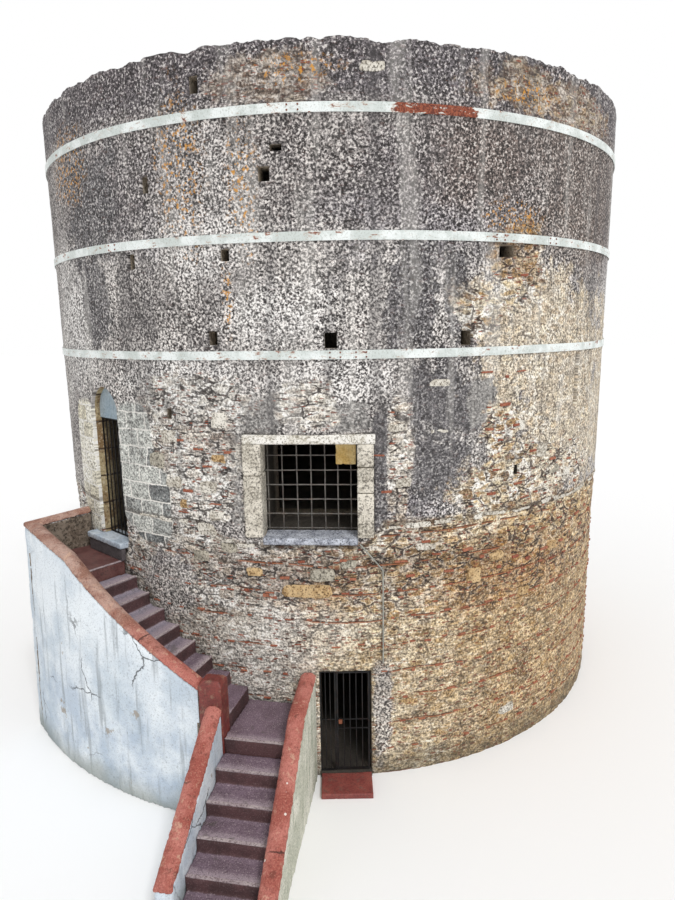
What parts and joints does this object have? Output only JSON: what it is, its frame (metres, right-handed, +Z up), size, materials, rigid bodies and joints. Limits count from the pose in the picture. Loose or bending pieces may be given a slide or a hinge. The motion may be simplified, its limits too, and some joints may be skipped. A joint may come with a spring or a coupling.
{
  "type": "round castle tower",
  "caption": "Hollow round masonry tower with a vaulted upper room, steel hoops, a barred window, a hinged lower gate and a curved outside stair to a raised arched doorway",
  "frame": {"origin": "on the tower's axis at ground level", "axes": "+Z up, the lower doorway and the stair's foot face -Y, +X to the right seen from the front"},
  "size_m": [10.8238, 13.5741, 10.32],
  "materials": {
    "rubble_masonry": "weathered rubble with lime mortar and thin brick courses",
    "render_masonry": "weathered grey render over rubble, streaked and lichened",
    "rim_masonry": "rough broken wall top with moss stains",
    "paving": "worn stone paving",
    "vault_plaster": "bare lime plaster",
    "hoop_paint": "pale grey paint with rust",
    "limestone": "dressed limestone, weathered",
    "corner_stone": "yellow squared stone",
    "sill_mortar": "rough pale cement",
    "gate_iron": "black wrought iron, dull",
    "red_cement": "red painted cement, scuffed",
    "marble": "grey-blue marble, worn",
    "step_stone": "dark riser stone",
    "panel_blue": "pale blue-grey plastered panel",
    "tread_cement": "worn purple-brown cement",
    "limewash": "limewashed render, stained",
    "parapet_cement": "streaked grey-green cement render",
    "coping_terracotta": "terracotta-red painted coping",
    "pier_red": "chipped red paint on cement",
    "conduit_grey": "grey conduit"
  },
  "bodies": {
    "tower": {"lower_wall_front_left": "rubble_masonry", "lower_wall_left": "rubble_masonry", "lower_wall_back_left": "rubble_masonry", "lower_wall_back_right": "rubble_masonry", "lower_wall_right": "rubble_masonry", "lower_wall_front_right": "rubble_masonry", "lower_door_head": "rubble_masonry", "upper_wall_front": "render_masonry", "upper_wall_front_right": "render_masonry", "upper_wall_right": "render_masonry", "upper_wall_back": "render_masonry", "upper_wall_back_left": "render_masonry", "upper_wall_left": "render_masonry", "upper_door_head": "render_masonry", "rim_wall": "rim_masonry", "ground_floor": "paving", "first_floor": "paving", "terrace_floor": "paving", "vault": "vault_plaster", "steel_hoops": "hoop_paint", "window_lintel": "limestone", "window_jambs": "limestone", "window_sill": "sill_mortar", "window_block": "corner_stone", "gate_side_panel": "gate_iron", "gate_hinges": "gate_iron", "upper_gate": "gate_iron", "lunette_panel": "panel_blue", "threshold_slab": "red_cement", "doorstep_slab": "marble", "doorstep_riser": "step_stone", "lower_flight": "tread_cement", "stair_landing": "tread_cement", "upper_flight": "tread_cement", "upper_landing": "tread_cement", "stair_pier": "pier_red", "lower_left_parapet": "limewash", "lower_right_parapet": "parapet_cement", "upper_parapet": "limewash", "end_parapet": "limewash", "lower_left_coping": "coping_terracotta", "lower_right_coping": "coping_terracotta", "upper_coping": "coping_terracotta", "conduit": "conduit_grey"},
    "gate": {"gate_leaf": "gate_iron"}
  },
  "joints": [
    {"name": "gate_swing", "type": "hinge", "parent": "tower", "child": "gate", "pos_m": [0.469, -5.34, 0.1], "axis": [0, 0, -1], "range_deg": [0, 90]}
  ]
}
